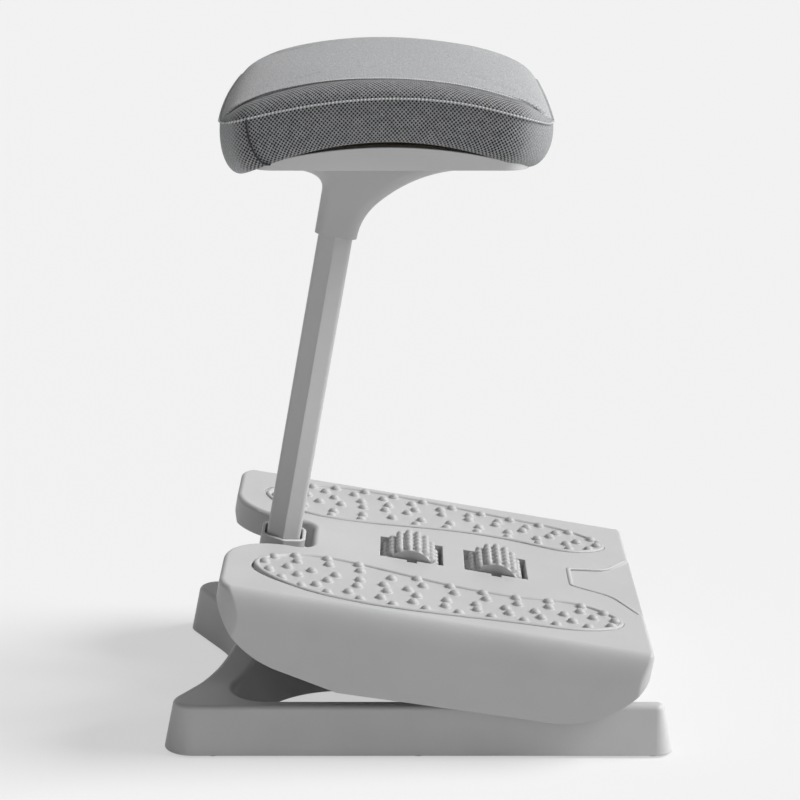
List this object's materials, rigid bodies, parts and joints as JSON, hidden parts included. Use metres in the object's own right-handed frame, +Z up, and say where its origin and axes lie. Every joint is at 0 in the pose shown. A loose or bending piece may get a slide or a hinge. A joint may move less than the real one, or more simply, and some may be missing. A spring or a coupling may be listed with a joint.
{
  "type": "ergonomic footrest",
  "caption": "Under-desk footrest: a sprung, tilting foot plate with nubbed massage pads and rollers on a moulded frame, and a mesh-covered leg rest on a leaning post.",
  "frame": {"origin": "on the floor at the middle of the base frame's length and width", "axes": "+X towards the user's heels, -X towards the toes and the post, +Y towards the right foot, +Z up"},
  "size_m": [0.397, 0.322, 0.5243],
  "materials": {
    "frame_plastic": "fine satin grain",
    "plate_plastic": "fine satin grain",
    "sleeve_plastic": "satin",
    "bracket_plastic": "matte",
    "feet_rubber": "matte",
    "screw_steel": "zinc plated",
    "shaft_steel": "ground",
    "pad_plastic": "fine satin grain",
    "roller_plastic": "satin",
    "post_coat": "satin powder coat",
    "neck_plastic": "fine satin grain",
    "board_wood": "plywood",
    "cushion_mesh": "woven mesh"
  },
  "bodies": {
    "base": {"base_frame": "frame_plastic", "left_front_foot": "feet_rubber", "left_middle_foot": "feet_rubber", "left_rear_foot": "feet_rubber", "right_front_foot": "feet_rubber", "right_middle_foot": "feet_rubber", "right_rear_foot": "feet_rubber", "post_socket": "sleeve_plastic", "socket_screws": "screw_steel", "socket_bush": "sleeve_plastic", "left_pivot_bracket": "bracket_plastic", "right_pivot_bracket": "bracket_plastic", "bracket_screws": "screw_steel", "pivot_shaft": "shaft_steel", "left_shaft_clip": "shaft_steel", "right_shaft_clip": "shaft_steel", "left_return_spring": "shaft_steel", "right_return_spring": "shaft_steel", "stop_bumper": "feet_rubber"},
    "pedal": {"pedal_plate": "plate_plastic", "left_massage_pad": "pad_plastic", "right_massage_pad": "pad_plastic", "left_pivot_bush": "sleeve_plastic", "right_pivot_bush": "sleeve_plastic", "front_roller_axle": "shaft_steel", "rear_roller_axle": "shaft_steel"},
    "rear_roller": {"rear_roller": "roller_plastic"},
    "front_roller": {"front_roller": "roller_plastic"},
    "leg_rest": {"post_tube": "post_coat", "post_end_plug": "sleeve_plastic", "post_top_plug": "sleeve_plastic", "post_bolt": "screw_steel", "support_neck": "neck_plastic", "neck_screws": "screw_steel", "cushion_pan": "neck_plastic", "cushion_board": "board_wood", "cushion": "cushion_mesh"}
  },
  "joints": [
    {"name": "pedal_tilt", "type": "hinge", "parent": "base", "child": "pedal", "pos_m": [0.124, 0, 0.061], "axis": [0, 1, 0], "range_deg": [-8.5, 6.5], "stiffness_Nm_per_rad": 15, "springref_deg": 3.16, "deforming": ["left_return_spring", "right_return_spring"]},
    {"name": "rear_roller_spin", "type": "hinge", "parent": "pedal", "child": "rear_roller", "pos_m": [-0.00651, 0, 0.10523], "axis": [0, 1, 0], "continuous": true},
    {"name": "front_roller_spin", "type": "hinge", "parent": "pedal", "child": "front_roller", "pos_m": [0.06247, 0, 0.09332], "axis": [0, 1, 0], "continuous": true},
    {"name": "leg_rest_height", "type": "slide", "parent": "base", "child": "leg_rest", "axis": [0.1754, 0, 0.9845], "range_m": [0, 0.05]}
  ]
}
